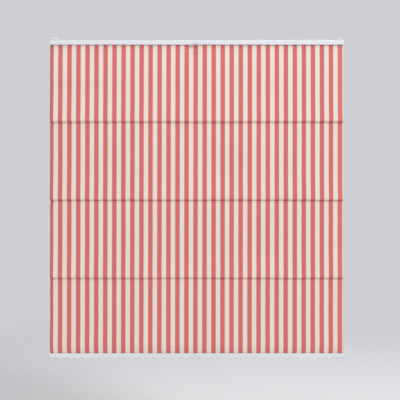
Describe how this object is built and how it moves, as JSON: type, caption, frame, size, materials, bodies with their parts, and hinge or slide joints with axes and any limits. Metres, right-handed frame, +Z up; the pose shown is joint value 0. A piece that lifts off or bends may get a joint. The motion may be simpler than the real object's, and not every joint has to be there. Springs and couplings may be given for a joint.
{
  "type": "roman blind",
  "caption": "Clamp-on cordless roman blind with a red and cream striped cloth between two sliding white rails on taut cords, folded at sewn creases.",
  "frame": {"origin": "middle of the edge that the top clamps grip, on the face that the clamps rest against", "axes": "+X to the right seen from the front, -Y to the front, +Z up"},
  "size_m": [1.088, 0.0618, 1.194],
  "materials": {
    "white_aluminium": "white powder coat, satin",
    "white_plastic": "moulded, fine texture",
    "grey_plastic": "moulded, fine texture",
    "rod_fibreglass": "pultruded, satin",
    "steel": "zinc plated",
    "rubber": "soft, matt",
    "cream_cotton": "plain weave cotton",
    "red_cotton": "plain weave cotton",
    "white_cord": "braided polyester"
  },
  "bodies": {
    "clamps_and_cloth": {"top_right_clamp_body": "white_plastic", "top_right_cord_anchor": "grey_plastic", "top_left_clamp_body": "white_plastic", "top_left_cord_anchor": "grey_plastic", "bottom_right_clamp_body": "white_plastic", "bottom_right_cord_anchor": "grey_plastic", "bottom_left_clamp_body": "white_plastic", "bottom_left_cord_anchor": "grey_plastic", "right_tension_cord": "white_cord", "left_tension_cord": "white_cord", "crease_1_rod": "rod_fibreglass", "crease_1_right_ring": "white_plastic", "crease_1_left_ring": "white_plastic", "cloth": "cream_cotton", "red_stripes": "red_cotton"},
    "top_rail_set": {"top_rail": "white_aluminium", "top_hem_strip": "rod_fibreglass", "top_grip": "white_plastic", "top_right_end_cap": "white_plastic", "top_right_brake_housing": "grey_plastic", "top_right_brake_pad": "rubber", "top_right_brake_spring": "steel", "top_left_end_cap": "white_plastic", "top_left_brake_housing": "grey_plastic", "top_left_brake_pad": "rubber", "top_left_brake_spring": "steel"},
    "bottom_rail_set": {"bottom_rail": "white_aluminium", "bottom_hem_strip": "rod_fibreglass", "bottom_grip": "white_plastic", "bottom_right_end_cap": "white_plastic", "bottom_right_brake_housing": "grey_plastic", "bottom_right_brake_pad": "rubber", "bottom_right_brake_spring": "steel", "bottom_left_end_cap": "white_plastic", "bottom_left_brake_housing": "grey_plastic", "bottom_left_brake_pad": "rubber", "bottom_left_brake_spring": "steel"},
    "crease_2_set": {"crease_2_rod": "rod_fibreglass", "crease_2_right_ring": "white_plastic", "crease_2_left_ring": "white_plastic"},
    "crease_3_set": {"crease_3_rod": "rod_fibreglass", "crease_3_right_ring": "white_plastic", "crease_3_left_ring": "white_plastic"},
    "top_right_hook_set": {"top_right_clamp_hook": "steel", "top_right_hook_pad": "rubber"},
    "top_right_screw": {"top_right_clamp_screw": "steel"},
    "top_left_hook_set": {"top_left_clamp_hook": "steel", "top_left_hook_pad": "rubber"},
    "top_left_screw": {"top_left_clamp_screw": "steel"},
    "bottom_right_hook_set": {"bottom_right_clamp_hook": "steel", "bottom_right_hook_pad": "rubber"},
    "bottom_right_screw": {"bottom_right_clamp_screw": "steel"},
    "bottom_left_hook_set": {"bottom_left_clamp_hook": "steel", "bottom_left_hook_pad": "rubber"},
    "bottom_left_screw": {"bottom_left_clamp_screw": "steel"}
  },
  "joints": [
    {"name": "top_rail_slide", "type": "slide", "parent": "clamps_and_cloth", "child": "top_rail_set", "axis": [0, 0, -1], "range_m": [0, 0.255], "deforming": ["cloth", "red_stripes"]},
    {"name": "bottom_rail_slide", "type": "slide", "parent": "clamps_and_cloth", "child": "bottom_rail_set", "axis": [0, 0, 1], "range_m": [0, 0.77], "deforming": ["cloth", "red_stripes"]},
    {"name": "crease_2_slide", "type": "slide", "parent": "clamps_and_cloth", "child": "crease_2_set", "axis": [0, 0, 1], "range_m": [0, 0.2602]},
    {"name": "crease_3_slide", "type": "slide", "parent": "clamps_and_cloth", "child": "crease_3_set", "axis": [0, 0, 1], "range_m": [0, 0.5203]},
    {"name": "top_right_hook_slide", "type": "slide", "parent": "clamps_and_cloth", "child": "top_right_hook_set", "axis": [0, -1, 0], "range_m": [0, 0.012]},
    {"name": "top_right_screw_turn", "type": "hinge", "parent": "clamps_and_cloth", "child": "top_right_screw", "pos_m": [0.52385, -0.02, 0.0043], "axis": [0, 1, 0], "range_deg": [0, 2160]},
    {"name": "top_left_hook_slide", "type": "slide", "parent": "clamps_and_cloth", "child": "top_left_hook_set", "axis": [0, -1, 0], "range_m": [0, 0.012]},
    {"name": "top_left_screw_turn", "type": "hinge", "parent": "clamps_and_cloth", "child": "top_left_screw", "pos_m": [-0.52385, -0.02, 0.0043], "axis": [0, 1, 0], "range_deg": [0, 2160]},
    {"name": "bottom_right_hook_slide", "type": "slide", "parent": "clamps_and_cloth", "child": "bottom_right_hook_set", "axis": [0, -1, 0], "range_m": [0, 0.012]},
    {"name": "bottom_right_screw_turn", "type": "hinge", "parent": "clamps_and_cloth", "child": "bottom_right_screw", "pos_m": [0.52385, -0.02, -1.1813], "axis": [0, 1, 0], "range_deg": [0, 2160]},
    {"name": "bottom_left_hook_slide", "type": "slide", "parent": "clamps_and_cloth", "child": "bottom_left_hook_set", "axis": [0, -1, 0], "range_m": [0, 0.012]},
    {"name": "bottom_left_screw_turn", "type": "hinge", "parent": "clamps_and_cloth", "child": "bottom_left_screw", "pos_m": [-0.52385, -0.02, -1.1813], "axis": [0, 1, 0], "range_deg": [0, 2160]}
  ],
  "couplings": [
    {"joint": "crease_2_slide", "follows": "bottom_rail_slide", "ratio": 0.33781},
    {"joint": "crease_3_slide", "follows": "bottom_rail_slide", "ratio": 0.67563},
    {"joint": "top_right_screw_turn", "follows": "top_right_hook_slide", "rad_per_m": 3141.6},
    {"joint": "top_left_screw_turn", "follows": "top_left_hook_slide", "rad_per_m": 3141.6},
    {"joint": "bottom_right_screw_turn", "follows": "bottom_right_hook_slide", "rad_per_m": 3141.6},
    {"joint": "bottom_left_screw_turn", "follows": "bottom_left_hook_slide", "rad_per_m": 3141.6}
  ]
}
